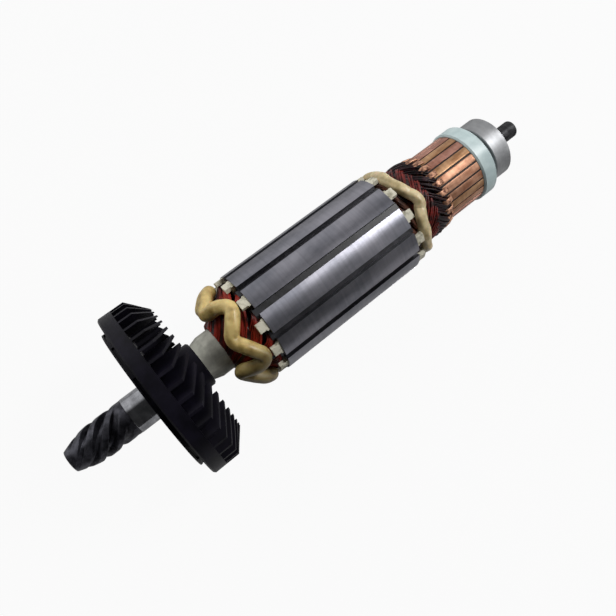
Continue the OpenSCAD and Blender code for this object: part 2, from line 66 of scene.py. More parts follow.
# Points closer than this, in millimetres, are merged
SAME_SPOT = 0.001

Tree = bpy.types.NodeTree
Socket = bpy.types.NodeSocket
Piece = bpy.types.Object
Range = tuple[float, float]
Triple = tuple[float, float, float]
Material = bpy.types.Material
Look = tuple[dict[str, float], dict[str, Socket]]


class Slot(Enum):
    """Material slots of the new pieces."""

    SHAFT_STEEL = "shaft_steel"
    MAGNET_WIRE = "magnet_wire"
    LACING_CORD = "lacing_cord"
    LEAD_WIRE = "lead_wire"
    COMM_COPPER = "comm_copper"
    MICA = "mica"


@dataclass(frozen=True)
class Layout:
    """Places along the shaft and the radii that several sub-assemblies share."""

    tip: float = -24.5
    seat_start: float = -4.0
    seat_end: float = 4.0
    stack_start: float = 42.7
    stack_end: float = 97.1
    bars_start: float = 113.3
    bars_end: float = 132.1
    bearing_start: float = 139.9
    bearing_end: float = 146.9
    shaft_end: float = 159.3
    stack_radius: float = 17.7
    track_radius: float = 12.45
    slot_count: int = 12
    slot_angle: float = 11.5
    bar_count: int = 24

    @property
    def slot_pitch(self) -> float:
        """Give the angle from slot to slot."""
        return 360 / self.slot_count

    @property
    def bar_pitch(self) -> float:
        """Give the angle from bar to bar."""
        return 360 / self.bar_count


LAYOUT = Layout()


# ---------- small helpers ----------


def linear(hex_colour: str) -> tuple[float, ...]:
    """Turn an sRGB hex colour into linear values.

    Args:
        hex_colour: colour such as "#a0a0a0".

    Returns:
        Red, green, blue and alpha, linear.
    """
    parts = [int(hex_colour[i : i + 2], 16) / 255 for i in (1, 3, 5)]
    return (*[c / 12.92 if c <= 0.04045 else ((c + 0.055) / 1.055) ** 2.4 for c in parts], 1.0)


def add_node(
    tree: Tree,
    kind: str,
    values: dict[str | int, Any] | None = None,
    links: dict[str | int, Socket] | None = None,
    **settings: Any,
) -> bpy.types.Node:
    """Add one node with its settings, socket values and links.

    Args:
        tree: node tree that gets the node.
        kind: the node's type name.
        values: socket name or number to its value.
        links: socket name or number to the socket that feeds it.
        **settings: properties of the node itself.

    Returns:
        The new node.
    """
    node = tree.nodes.new(kind)
    for name, value in settings.items():
        setattr(node, name, value)
    for name, value in (values or {}).items():
        node.inputs[name].default_value = value
    for name, source in (links or {}).items():
        tree.links.new(source, node.inputs[name])
    return node


def place(x: float, radius: float, angle: float) -> Vector:
    """Give the point at a place along the shaft, a radius and an angle round it, in metres."""
    a = math.radians(angle)
    return Vector((x, -radius * math.sin(a), radius * math.cos(a))) * MM


def ease(t: float) -> float:
    """Rise smoothly from 0 to 1 as t goes from 0 to 1."""
    u = min(max(t, 0.0), 1.0)
    return u * u * (3 - 2 * u)


def between(profile: Sequence[Range], place_on: float) -> float:
    """Read a profile of (place, height) pairs at a place, along straight lines."""
    for (a, low), (b, high) in zip(profile, profile[1:]):
        if place_on <= b:
            return low + (high - low) * (place_on - a) / (b - a)
    return profile[-1][1]


def deselect() -> None:
    """Leave edit mode and deselect everything."""
    if bpy.context.object and bpy.context.object.mode == "EDIT":
        bpy.ops.object.mode_set(mode="OBJECT")
    bpy.ops.object.select_all(action="DESELECT")


def only(piece: Piece) -> None:
    """Select one piece alone and make it active."""
    deselect()
    piece.select_set(True)
    bpy.context.view_layer.objects.active = piece


@contextmanager
def editing() -> Iterator[None]:
    """Edit the active mesh with all of it selected, then go back to object mode."""
    bpy.ops.object.mode_set(mode="EDIT")
    bpy.ops.mesh.select_all(action="SELECT")
    yield
    bpy.ops.object.mode_set(mode="OBJECT")


def settle(piece: Piece, name: str) -> Piece:
    """Name a new piece and put its place into its mesh.

    Args:
        piece: the new object.
        name: name for the object and its mesh.

    Returns:
        The same piece.
    """
    only(piece)
    bpy.ops.object.transform_apply(location=True, rotation=True, scale=True)
    piece.name = piece.data.name = name
    return piece


def smooth(piece: Piece, angle: float = 35.0) -> None:
    """Shade a piece smooth, with edges above the given angle left sharp."""
    only(piece)
    bpy.ops.object.shade_smooth_by_angle(angle=math.radians(angle))


def rounded(piece: Piece, width: float) -> None:
    """Round a piece's sharp edges with an applied Bevel modifier, width in millimetres."""
    only(piece)
    bevel = piece.modifiers.new("rounding", "BEVEL")
    bevel.width = width * MM
    bevel.segments = 2
    bevel.limit_method = "ANGLE"
    bevel.angle_limit = math.radians(30)
    bpy.ops.object.modifier_apply(modifier=bevel.name)


def outward(piece: Piece) -> None:
    """Merge a closed piece's doubled points and turn its faces outwards."""
    only(piece)
    with editing():
        bpy.ops.mesh.remove_doubles(threshold=SAME_SPOT * MM)
        bpy.ops.mesh.normals_make_consistent(inside=False)


def turned(name: str, steps: Sequence[Range], sides: int = 96) -> Piece:
    """Turn a solid bar: a disc is extruded along X and resized from step to step.

    Args:
        name: the piece's name.
        steps: (place along X, radius) pairs in order.
        sides: edges round the bar.

    Returns:
        The closed, settled piece, shaded smooth.
    """
    deselect()
    x, radius = steps[0]
    bpy.ops.mesh.primitive_circle_add(
        vertices=sides, radius=radius * MM, fill_type="NGON",
        location=(x * MM, 0, 0), rotation=(0, math.pi / 2, 0),
    )
    piece = bpy.context.object
    bpy.ops.object.transform_apply(location=True, rotation=True, scale=True)
    with editing():
        for next_x, next_radius in steps[1:]:
            bpy.ops.mesh.extrude_region_move(
                TRANSFORM_OT_translate={"value": ((next_x - x) * MM, 0, 0)}
            )
            grow = next_radius / radius
            bpy.ops.transform.resize(value=(1, grow, grow), center_override=(next_x * MM, 0, 0))
            x, radius = next_x, next_radius
    outward(piece)
    settle(piece, name)
    smooth(piece)
    return piece


def wrapped(
    name: str, rows: int, columns: int, where: Callable[[float, float], Vector], capped: bool
) -> Piece:
    """Wrap a flat grid into a tube whose points follow a rule.

    Args:
        name: the piece's name.
        rows: faces along the tube.
        columns: faces round the tube.
        where: gives the point for a share along (0 to 1) and a share round (0 to 1).
        capped: close both ends; an endless tube is merged end to end.

    Returns:
        The closed, settled piece, with its grid's own UV map: U along and V round.
    """
    deselect()
    bpy.ops.mesh.primitive_grid_add(
        x_subdivisions=rows, y_subdivisions=columns, size=1.0, calc_uvs=True
    )
    piece = bpy.context.object
    for point in piece.data.vertices:
        point.co = where(point.co.x + 0.5, point.co.y + 0.5)
    only(piece)
    with editing():
        bpy.ops.mesh.remove_doubles(threshold=SAME_SPOT * MM)
        if capped:
            bpy.ops.mesh.select_all(action="DESELECT")
            bpy.ops.mesh.select_mode(type="VERT")
            bpy.ops.mesh.select_non_manifold()
            bpy.ops.mesh.edge_face_add()
        bpy.ops.mesh.select_all(action="SELECT")
        bpy.ops.mesh.normals_make_consistent(inside=False)
    return settle(piece, name)


def added(name: str, data: Any) -> Piece:
    """Put new data into the scene as an object with a name."""
    piece = bpy.data.objects.new(name, data)
    bpy.context.scene.collection.objects.link(piece)
    return piece


def round_curve(name: str, radius: float, resolution: int) -> bpy.types.Curve:
    """Make an empty curve with a round section and closed ends, radius in millimetres."""
    curve = bpy.data.curves.new(name, "CURVE")
    curve.dimensions = "3D"
    curve.bevel_depth = radius * MM
    curve.bevel_resolution = resolution
    curve.use_fill_caps = True
    return curve


def meshed(piece: Piece, name: str) -> Piece:
    """Turn a curve object into a settled mesh piece."""
    only(piece)
    bpy.ops.object.convert(target="MESH")
    return settle(bpy.context.object, name)


def wires(name: str, paths: Iterable[Sequence[Vector]], radius: float) -> Piece:
    """Make round wires along paths as one mesh.

    Args:
        name: the piece's name.
        paths: points of each wire in metres.
        radius: the wire's radius in millimetres.

    Returns:
        The settled mesh piece.
    """
    curve = round_curve(name, radius, resolution=1)
    for path in paths:
        spline = curve.splines.new("POLY")
        spline.points.add(len(path) - 1)
        for point, co in zip(spline.points, path):
            point.co = (*co, 1)
    piece = meshed(added(name, curve), name)
    for face in piece.data.polygons:
        face.use_smooth = True
    return piece


def turn(piece: Piece, angle: float) -> None:
    """Turn a piece's mesh round the shaft by an angle."""
    piece.data.transform(Matrix.Rotation(math.radians(angle), 4, "X"))


def turned_copy(piece: Piece, name: str, angle: float) -> Piece:
    """Copy a piece with its own mesh and turn the copy round the shaft by an angle."""
    copy = piece.copy()
    copy.data = piece.data.copy()
    copy.name = copy.data.name = name
    bpy.context.scene.collection.objects.link(copy)
    turn(copy, angle)
    return copy


def dress(piece: Piece, material: Material) -> None:
    """Give a piece one material in place of what it has."""
    piece.data.materials.clear()
    piece.data.materials.append(material)


def fit(piece: Piece, finish: Finish, slot: Slot, *nodes: str) -> None:
    """Dress a new piece, tie it to the rotor and hide the frame nodes it stands for."""
    dress(piece, finish.build())
    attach(piece, ROTOR)
    if nodes:
        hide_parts(*nodes)
    LOG.info("piece %s: %d faces", piece.name, len(piece.data.polygons))


# ---------- patterns and finishes ----------


def empty_tree(owner: Material | bpy.types.World) -> Tree:
    """Turn on a material's or a world's nodes and clear them."""
    owner.use_nodes = True
    owner.node_tree.nodes.clear()
    return owner.node_tree


def maths(tree: Tree, operation: str, first: Socket, second: Socket | float = 0.0) -> Socket:
    """Work out one step from a socket and another socket or a number."""
    plain = isinstance(second, float)
    values = {1: second} if plain else {}
    links = {0: first} if plain else {0: first, 1: second}
    return add_node(tree, "ShaderNodeMath", values, links, operation=operation).outputs["Value"]


def mapped(
    tree: Tree, value: Socket, source: Range, target: Range, kind: str = "SMOOTHSTEP"
) -> Socket:
    """Map a range of a value to another range and hold it at both ends."""
    names = ("From Min", "From Max", "To Min", "To Max")
    limits = dict(zip(names, (*source, *target)))
    return add_node(
        tree, "ShaderNodeMapRange", limits, {"Value": value}, interpolation_type=kind
    ).outputs["Result"]


def mixed(tree: Tree, share: Socket, first: Socket, second: Socket) -> Socket:
    """Mix two shaders by a share of the second."""
    links = {"Fac": share, 1: first, 2: second}
    return add_node(tree, "ShaderNodeMixShader", links=links).outputs["Shader"]


def bump(tree: Tree, height: Socket, depth: float, strength: float = 1.0) -> Socket:
    """Raise a surface by a height pattern, depth in millimetres."""
    values = {"Strength": strength, "Distance": depth * MM}
    return add_node(tree, "ShaderNodeBump", values, {"Height": height}).outputs["Normal"]


def noise(
    tree: Tree,
    size: float,
    stretch: Triple = (1.0, 1.0, 1.0),
    detail: float = 4.0,
    roughness: float = 0.55,
) -> Socket:
    """Lay noise that is fixed to the piece.

    Args:
        tree: node tree that gets the noise.
        size: a patch's real width in millimetres.
        stretch: how fast the noise changes along each axis; less draws it out.
        detail: octaves of finer noise.
        roughness: weight of the finer noise.

    Returns:
        The noise's grey value.
    """
    spot = add_node(tree, "ShaderNodeTexCoord").outputs["Object"]
    fitted = add_node(tree, "ShaderNodeMapping", {"Scale": stretch}, {"Vector": spot})
    return add_node(
        tree,
        "ShaderNodeTexNoise",
        {"Scale": 1 / (size * MM), "Detail": detail, "Roughness": roughness},
        {"Vector": fitted.outputs["Vector"]},
    ).outputs["Fac"]


@dataclass(frozen=True)
class Cloud:
    """Soft irregular patches between two colours; size is a patch's real width."""

    size: float
    dark: str
    light: str
    low: float = 0.38
    high: float = 0.62
    stretch: Triple = (1.0, 1.0, 1.0)

    def lay(self, tree: Tree) -> Socket:
        """Lay the pattern in a tree and give its colour."""
        grain = noise(tree, self.size, self.stretch)
        ramp = add_node(tree, "ShaderNodeValToRGB", links={"Fac": grain})
        first, last = ramp.color_ramp.elements
        first.position, first.color = self.low, linear(self.dark)
        last.position, last.color = self.high, linear(self.light)
        return ramp.outputs["Color"]


@dataclass(frozen=True)
class Finish:
    """What every finish shares: a name, a cloudy colour and how they become a material."""

    name: str
    cloud: Cloud

    def build(self) -> Material:
        """Make the material, or find it if it is made already."""
        material = bpy.data.materials.get(self.name)
        if material:
            return material
        material = bpy.data.materials.new(self.name)
        tree = empty_tree(material)
        shader = add_node(tree, "ShaderNodeBsdfPrincipled", *self.look(tree))
        add_node(tree, "ShaderNodeOutputMaterial", links={"Surface": shader.outputs["BSDF"]})
        return material

    def look(self, tree: Tree) -> Look:
        """Give the shader's values and what feeds it; each finish has its own."""
        raise NotImplementedError


@dataclass(frozen=True)
class PlainFinish(Finish):
    """A moulded, coated or wrapped surface: cloudy colour, even gloss and a fine grain."""

    roughness: float = 0.5
    grain: float = 0.4
    grain_depth: float = 0.01
    metallic: float = 0.0
    coat: float = 0.0
    specular: float = 0.5

    def look(self, tree: Tree) -> Look:
        """Lay the cloud as colour and a fine noise as bump."""
        values = {
            "Roughness": self.roughness,
            "Metallic": self.metallic,
            "Coat Weight": self.coat,
            "Coat Roughness": 0.15,
            "Specular IOR Level": self.specular,
        }
        normal = bump(tree, noise(tree, self.grain), self.grain_depth)
        return values, {"Base Color": self.cloud.lay(tree), "Normal": normal}


@dataclass(frozen=True)
class TurnedMetal(Finish):
    """Turned, ground or stacked metal: fine lines round the shaft draw its highlight along it."""

    line_pitch: float = 0.4
    line_depth: float = 0.004
    line_shade: float = 0.25
    roughness: float = 0.3
    anisotropy: float = 0.6
    metallic: float = 1.0

    def look(self, tree: Tree) -> Look:
        """Lay the cloud darkened in the lines, and the lines as bump."""
        height = noise(tree, 2 * self.line_pitch, (1.0, 0.02, 0.02), detail=2.0, roughness=0.6)
        contrast = mapped(tree, height, (0.3, 0.7), (1 - self.line_shade, 1.0), "LINEAR")
        shaded = add_node(
            tree,
            "ShaderNodeVectorMath",
            links={0: self.cloud.lay(tree), 1: contrast},
            operation="MULTIPLY",
        )
        axis = add_node(tree, "ShaderNodeCombineXYZ", {"X": 1.0})
        values = {
            "Metallic": self.metallic,
            "Roughness": self.roughness,
            "Anisotropic": self.anisotropy,
        }
        return values, {
            "Base Color": shaded.outputs["Vector"],
            "Tangent": axis.outputs["Vector"],
            "Normal": bump(tree, height, self.line_depth),
        }


@dataclass(frozen=True)
class CordFinish(Finish):
    """Twisted cotton cord stiff with varnish: slantwise strands, and painted shade (0 to 1) on one
    side.
    """

    strands: float = 5.0
    lay_length: float = 16.0
    length: float = 150.0
    ridge_depth: float = 0.09
    painted_shade: float = 0.0
    painted_shade_colour: str = "#38301c"
    painted_shade_side: Range = (-16.0, -8.0)

    def look(self, tree: Tree) -> Look:
        """Lay the painted shade by place and the strands along the cord's own UV map."""
        coordinates = add_node(tree, "ShaderNodeTexCoord").outputs
        turns = (self.length / self.lay_length, self.strands, 1.0)
        fitted = add_node(
            tree, "ShaderNodeMapping", {"Scale": turns}, {"Vector": coordinates["UV"]}
        )
        parts = add_node(
            tree, "ShaderNodeSeparateXYZ", links={"Vector": fitted.outputs["Vector"]}
        ).outputs
        slant = maths(tree, "ADD", parts["X"], parts["Y"])
        ridge = maths(tree, "SINE", maths(tree, "MULTIPLY", slant, math.tau))
        colour = self.cloud.lay(tree)
        # Painted shade: the side towards -Y is darkened towards the shade colour
        if self.painted_shade:
            spot = add_node(
                tree, "ShaderNodeSeparateXYZ", links={"Vector": coordinates["Object"]}
            )
            near, far = (MM * y for y in self.painted_shade_side)
            share = mapped(tree, spot.outputs["Y"], (near, far), (self.painted_shade, 0.0))
            colour = add_node(
                tree,
                "ShaderNodeMixRGB",
                {"Color2": linear(self.painted_shade_colour)},
                {"Fac": share, "Color1": colour},
            ).outputs["Color"]
        values = {
            "Roughness": 0.42,
            "Subsurface Weight": 0.1,
            "Subsurface Scale": 1.0 * MM,
            "Coat Weight": 0.15,
            "Coat Roughness": 0.3,
        }
        normal = bump(tree, ridge, self.ridge_depth, strength=0.7)
        return values, {"Base Color": colour, "Normal": normal}


# Browner cord, with painted shade darkening the side towards -Y
SHADE_PAINTED_CORD = CordFinish(
    "cotton_cord_with_painted_shade", Cloud(4.0, "#8a6f36", "#cdb576", low=0.3, high=0.6), painted_shade=0.75
)
# Cord that stayed paler and greyer
PALE_CORD = CordFinish("pale_cotton_cord", Cloud(4.0, "#8f7f55", "#cfbd95", low=0.3, high=0.6))
# Carbon steel left black from hardening, with an oil film: nearly black with a soft wide gloss
PINION_STEEL = PlainFinish(
    "black_oxide_pinion_steel", Cloud(2.5, "#2b2b31", "#55555d"),
    roughness=0.38, grain=0.5, metallic=0.7,
)
# The same bar ground bright for a bearing: fine lines round it
SEAT_STEEL = TurnedMetal(
    "ground_shaft_steel", Cloud(3.0, "#88898d", "#aeafb4"),
    line_pitch=0.35, line_depth=0.003, line_shade=0.15, roughness=0.16,
)
# Turned and oiled steel of the shaft's other lengths: dark and dull
CORE_STEEL = TurnedMetal(
    "dark_turned_steel", Cloud(2.0, "#3a3a3c", "#545456"),
    line_pitch=0.5, line_shade=0.3, roughness=0.6,
)
# Glass filled nylon, injection moulded: black with a low even sheen
FAN_NYLON = PlainFinish(
    "moulded_black_nylon", Cloud(6.0, "#09080f", "#12101a"),
    roughness=0.42, grain=0.35, grain_depth=0.006, specular=0.14,
)
# Wound glass and resin tube under old varnish: mottled grey
SLEEVE_TUBE = PlainFinish(
    "resin_glass_tube", Cloud(4.5, "#95948b", "#c3c3b7", stretch=(0.7, 1.0, 1.0)),
    roughness=0.55, grain=0.8, grain_depth=0.02,
)
# Silicon steel sheets, stacked and turned: a line for each sheet, at twice the real pitch to show
STACK_STEEL = TurnedMetal(
    "silicon_steel_sheets", Cloud(9.0, "#7b7c84", "#98979f", stretch=(0.5, 1.0, 1.0)),
    line_pitch=0.5, line_shade=0.16, roughness=0.37, anisotropy=0.5,
)
# Pressed vulcanised board: off-white with a dry, slightly fibrous face
END_BOARD = PlainFinish(
    "pressed_insulating_board", Cloud(2.2, "#79745f", "#c4c0ae", low=0.3, high=0.52),
    roughness=0.7, grain_depth=0.02,
)
# Slot paper, brown with varnish
SLOT_PAPER = PlainFinish(
    "varnished_slot_paper", Cloud(2.0, "#6f6247", "#a3956f"), roughness=0.6, grain=0.3
)
# Vulcanised fibre strip, black with varnish
WEDGE_FIBRE = PlainFinish("black_vulcanised_fibre", Cloud(3.0, "#141416", "#2c2c30"), roughness=0.4)


def wire_finish(name: str, cloud: Cloud, roughness: float, specular: float) -> PlainFinish:
    """Describe enamelled wire under varnish; its fine grain is the same everywhere."""
    return PlainFinish(name, cloud, roughness, grain=0.5, grain_depth=0.006, specular=specular)


# Enamelled copper wire under varnish: deep red, glossy, darker where the varnish pools
MAGNET_WIRE = wire_finish(
    "red_enamelled_copper_wire", Cloud(8.0, "#2a0808", "#942a1e", low=0.36, high=0.6),
    roughness=0.38, specular=0.3,
)
# The same wire on the rear head, browned where the varnish ran together
REAR_WIRE = wire_finish(
    "browned_magnet_wire", Cloud(3.0, "#120806", "#553020", low=0.4, high=0.66),
    roughness=0.4, specular=0.25,
)
# The same coils seen deep between the wires, near black as painted shade of the gaps
COIL_GAP_SHADE = PlainFinish(
    "coils_in_painted_gap_shade", Cloud(2.0, "#140506", "#40100d"),
    roughness=0.45, grain=0.6, grain_depth=0.03, coat=0.1,
)
# Coil ends led to the commutator, burnt dark by dipping varnish
LEAD_WIRE = wire_finish(
    "dark_varnished_leads", Cloud(2.2, "#090406", "#2a0d15", low=0.4, high=0.66),
    roughness=0.4, specular=0.25,
)
# The same varnished wire nearer the head, where its red still shows
MAROON_LEAD = wire_finish(
    "maroon_varnished_leads", Cloud(2.2, "#260809", "#7c2620", low=0.38, high=0.66),
    roughness=0.4, specular=0.3,
)
# Hard drawn copper, turned in place: warm, and tarnished plain brown, straw or rose from bar to bar
TRACK_COPPERS = tuple(
    TurnedMetal(
        f"{tarnish}_commutator_copper",
        Cloud(2.6, dark, light, stretch=(0.35, 1.0, 1.0), low=0.36, high=0.66),
        line_pitch=0.6,
        line_depth=0.006,
        line_shade=0.2,
        roughness=0.48,
        anisotropy=0.3,
        metallic=0.65,
    )
    for tarnish, dark, light in (
        ("plain", "#93644a", "#c4967a"),
        ("straw", "#956946", "#c59c76"),
        ("rose", "#94624f", "#c49382"),
    )
)
# Copper hooks after hot staking: scorched brown with bright rubbed spots
HOOK_COPPER = PlainFinish(
    "staked_hook_copper", Cloud(1.2, "#4c261b", "#cc9a7c", low=0.36, high=0.6),
    roughness=0.48, grain=0.5, grain_depth=0.03, metallic=0.6,
)
# Phenolic moulding that holds the bars
HUB_RESIN = PlainFinish("phenolic_moulding", Cloud(2.0, "#1f120d", "#3d261c"), grain_depth=0.02)
# Mica sheet, cut back below the copper and packed with carbon dust; its near black is partly that
# dust and partly painted shade of the narrow slits
MICA = PlainFinish(
    "undercut_mica_dust_and_slit_shade", Cloud(1.5, "#0c0605", "#22120c"), roughness=0.7, grain=0.3, grain_depth=0.02
)
# Moulded melamine ring: pale green-white, a little grimy
RING_MELAMINE = PlainFinish(
    "pale_melamine_moulding", Cloud(5.0, "#a4b5b6", "#bac9c9"),
    roughness=0.38, grain=0.6, grain_depth=0.006,
)
# Bearing steel, ground: clean grey, sharp highlight
RACE_STEEL = TurnedMetal(
    "ground_bearing_steel", Cloud(6.0, "#929395", "#a8a9ab"),
    line_pitch=0.3, line_depth=0.0015, line_shade=0.08, roughness=0.54, anisotropy=0.2,
)
# Pressed sheet steel of the bearing shields, darkened as painted shade of the narrow gap beside the
# end ring
SHADED_SHIELD_STEEL = PlainFinish(
    "pressed_shield_steel_painted_shade", Cloud(4.0, "#3b3c3f", "#55565a"),
    roughness=0.4, grain_depth=0.004, metallic=1.0,
)
# Brass coloured pressed cage
CAGE_STEEL = PlainFinish(
    "pressed_ball_cage", Cloud(2.0, "#8c7a46", "#b8a468"),
    roughness=0.35, grain_depth=0.006, metallic=1.0,
)
# Polished balls
BALL_STEEL = PlainFinish(
    "polished_ball_steel", Cloud(4.0, "#c4c6c9", "#d2d4d7"),
    roughness=0.08, grain=0.5, grain_depth=0.0005, metallic=1.0,
)


# ---------- view and light ----------


@dataclass(frozen=True)
class Viewpoint:
    """The camera: where it stands and its three axes."""

    position: Triple = (13.471, -61.725, 182.058)
    right: Triple = (0.7701001, -0.637923, 0.0)
    down: Triple = (-0.5941643, -0.7172746, -0.3639862)
    forward: Triple = (0.2321952, 0.2803059, -0.9314043)
    lens: float = 35.912
    nearest: float = 0.005
    farthest: float = 50.0

    def set_up(self) -> None:
        """Make the camera and use it for the scene."""
        data = bpy.data.cameras.new("viewpoint")
        data.lens = self.lens
        data.clip_start, data.clip_end = self.nearest, self.farthest
        camera = added("viewpoint", data)
        right, up, back = Vector(self.right), -Vector(self.down), -Vector(self.forward)
        axes = Matrix((right, up, back)).transposed().to_4x4()
        camera.matrix_world = Matrix.Translation(Vector(self.position) * MM) @ axes
        bpy.context.scene.camera = camera


@dataclass(frozen=True)
class Lamp:
    """A square soft lamp that points at a target."""

    name: str
    position: Triple
    target: Triple
    size: float
    power: float
    mirrored: bool = True

    def light(self) -> None:
        """Make the lamp."""
        data = bpy.data.lights.new(self.name, "AREA")
        data.size = self.size * MM
        data.energy = self.power
        lamp = added(self.name, data)
        lamp.location = Vector(self.position) * MM
        lamp.visible_glossy = self.mirrored
        aim = Vector(self.target) * MM - lamp.location
        lamp.rotation_euler = aim.to_track_quat("-Z", "Y").to_euler()


@dataclass
class Studio:
    """A plain pale floor that the fan's rim and the stack rest on, a pale room and soft lamps.

    Behind and beside hold how far the room's light has to turn towards +Y and +X to grow from
    its lowest to its highest level, and those two levels.
    """

    fan_radius: float = 28.8
    fan_contact: float = 10.0
    floor_size: float = 3000.0
    floor_front: float = 140.0
    paper: str = "#a4a4a4"
    white: str = "#ffffff"
    backdrop: str = "#fdfdfd"
    show: float = 0.94
    mirrored: float = 0.24
    behind: tuple[Range, Range] = ((0.12, 0.6), (0.05, 0.9))
    beside: tuple[Range, Range] = ((0.2, 0.6), (0.05, 0.34))
    lamps: tuple[Lamp, ...] = (
        Lamp("key", (430.0, -125.0, 480.0), (80.0, 0.0, 0.0), 140.0, 2.3),
        Lamp("side_fill", (-150.0, 500.0, 420.0), (60.0, 0.0, 0.0), 500.0, 1.6, mirrored=False),
        Lamp("end_fill", (380.0, -230.0, 150.0), (110.0, 0.0, 0.0), 160.0, 0.22),
    )

    def floor(self) -> None:
        """Lay the floor so that the fan's rim and the stack's rear corner touch it."""
        fall = (self.fan_radius - LAYOUT.stack_radius) / (LAYOUT.stack_end - self.fan_contact)
        middle = self.floor_size / 2 - self.floor_front
        deselect()
        bpy.ops.mesh.primitive_plane_add(
            size=self.floor_size * MM,
            location=(self.fan_contact * MM, middle * MM, -self.fan_radius * MM),
            rotation=(0, -math.atan(fall), 0),
        )
        piece = settle(bpy.context.object, "floor")
        material = bpy.data.materials.new("white_paper_sweep")
        tree = empty_tree(material)
        paper = add_node(tree, "ShaderNodeBsdfDiffuse", {"Color": linear(self.paper)})
        white = add_node(
            tree, "ShaderNodeEmission", {"Color": linear(self.white), "Strength": 1.0}
        )
        path = add_node(tree, "ShaderNodeLightPath").outputs
        mirror = maths(tree, "MULTIPLY", path["Is Glossy Ray"], self.mirrored)
        seen = maths(tree, "MAXIMUM", path["Is Camera Ray"], mirror)
        through = maths(tree, "MAXIMUM", seen, path["Is Transmission Ray"])
        share = maths(tree, "MULTIPLY", through, self.show)
        both = mixed(tree, share, paper.outputs["BSDF"], white.outputs["Emission"])
        add_node(tree, "ShaderNodeOutputMaterial", links={"Surface": both})
        dress(piece, material)

    def room(self) -> None:
        """Make the room: white to the eye, and as light bright on the far side, less beside."""
        world = bpy.data.worlds.new("pale_room")
        bpy.context.scene.world = world
        tree = empty_tree(world)
        direction = add_node(tree, "ShaderNodeTexCoord").outputs["Generated"]
        parts = add_node(tree, "ShaderNodeSeparateXYZ", links={"Vector": direction}).outputs
        behind = mapped(tree, parts["Y"], *self.behind)
        level = maths(tree, "MAXIMUM", behind, mapped(tree, parts["X"], *self.beside))
        light = add_node(
            tree, "ShaderNodeBackground", {"Color": linear(self.white)}, {"Strength": level}
        )
        white = add_node(
            tree, "ShaderNodeBackground", {"Color": linear(self.backdrop), "Strength": 1.0}
        )
        seen = add_node(tree, "ShaderNodeLightPath").outputs["Is Camera Ray"]
        both = mixed(tree, seen, light.outputs["Background"], white.outputs["Background"])
        add_node(tree, "ShaderNodeOutputWorld", links={"Surface": both})

    def set_up(self) -> None:
        """Lay the floor, make the room and light the lamps."""
        self.floor()
        self.room()
        for lamp in self.lamps:
            lamp.light()
        bpy.context.scene.view_settings.view_transform = "Standard"


# ---------- sub-assemblies ----------


@dataclass
class Shaft:
    """The turned shaft with its left-handed helical pinion."""

    seat_radius: float = 6.0
    core_radius: float = 5.0
    journal_radius: float = 4.0
    journal_rest: float = 0.6
    stub_radius: float = 3.05
    chamfer: float = 0.4
    shoulder: float = 0.01
    dome: float = 0.9
    teeth: int = 5
    tooth_radius: float = 5.9
    tooth_depth: float = 2.0
    tooth_rounding: float = 0.25
    crest_share: float = 0.18
    flank_share: float = 0.2
    lead: float = 28.6
    phase: float = 33.0
    nose_length: float = 10.0
    nose_radius: float = 3.5
    runout: float = 8.0
    overlap: float = 0.3
    rows: int = 60
    tooth_columns: int = 32

    def pinion_point(self, along: float, around: float) -> Vector:
        """Give the pinion's surface point at a share along and a share round."""
        free = LAYOUT.seat_start - LAYOUT.tip
        s = along * (free + self.overlap)
        cell = around * self.teeth
        off = abs(cell - math.floor(cell + 0.5))
        height = 1 - ease((off - self.crest_share) / self.flank_share)
        rise = math.sin(math.pi / 2 * min(s / self.nose_length, 1))
        nose = self.nose_radius + (self.tooth_radius - self.nose_radius) * rise
        depth = self.tooth_depth * (1 - ease((s - free + self.runout) / self.runout))
        radius = min(nose, self.tooth_radius - depth * (1 - height))
        return place(LAYOUT.tip + s, radius, self.phase + 360 * around - 360 * s / self.lead)

    def pinion(self) -> Piece:
        """Wrap the pinion with many points round each tooth, and shade it smooth."""
        columns = self.tooth_columns * self.teeth
        piece = wrapped("helical_pinion", self.rows, columns, self.pinion_point, capped=True)
        rounded(piece, self.tooth_rounding)
        smooth(piece, angle=40)
        return piece

    def seat(self) -> Piece:
        """Turn the bright bearing seat with its chamfers."""
        start, end = LAYOUT.seat_start, LAYOUT.seat_end
        high, low = self.seat_radius, self.seat_radius - self.chamfer
        steps = [(start, low), (start + self.chamfer, high), (end - self.chamfer, high), (end, low)]
        return turned("bearing_seat", steps)

    def rear_bar(self) -> Piece:
        """Turn the rest of the bar: core, journal and the stub with its domed end."""
        journal, stub = LAYOUT.bearing_start, LAYOUT.bearing_end + self.journal_rest
        flat = LAYOUT.shaft_end - self.dome
        steps = [
            (LAYOUT.seat_end - self.chamfer, self.core_radius),
            (journal, self.core_radius),
            (journal + self.shoulder, self.journal_radius),
            (stub, self.journal_radius),
            (stub + self.shoulder, self.stub_radius),
            (flat, self.stub_radius),
        ]
        for degrees in range(15, 90, 15):
            a = math.radians(degrees)
            rim = self.stub_radius - self.dome * (1 - math.cos(a))
            steps.append((flat + self.dome * math.sin(a), rim))
        return turned("shaft_bar", steps, sides=64)

    def build(self) -> None:
        """Build and fit the shaft's three pieces."""
        for piece, finish in (
            (self.pinion(), PINION_STEEL),
            (self.seat(), SEAT_STEEL),
            (self.rear_bar(), CORE_STEEL),
        ):
            fit(piece, finish, Slot.SHAFT_STEEL, "shaft")


@dataclass(frozen=True)
class Head:
    """One winding head, where distances are counted from the stack's face.

    The profile gives what is added to the head's radius at shares of its length.
    """

    side: str
    face: float
    way: int
    length: float
    profile: tuple[Range, ...]
    start: float = 1.0
    radius: float = 13.2

    def x(self, reach: float) -> float:
        """Give the place along the shaft at a distance from the stack."""
        return self.face + self.way * reach

    def radius_at(self, reach: float) -> float:
        """Give the head's radius at a distance from the stack."""
        return self.radius + between(self.profile, max((reach - self.start) / self.length, 0))


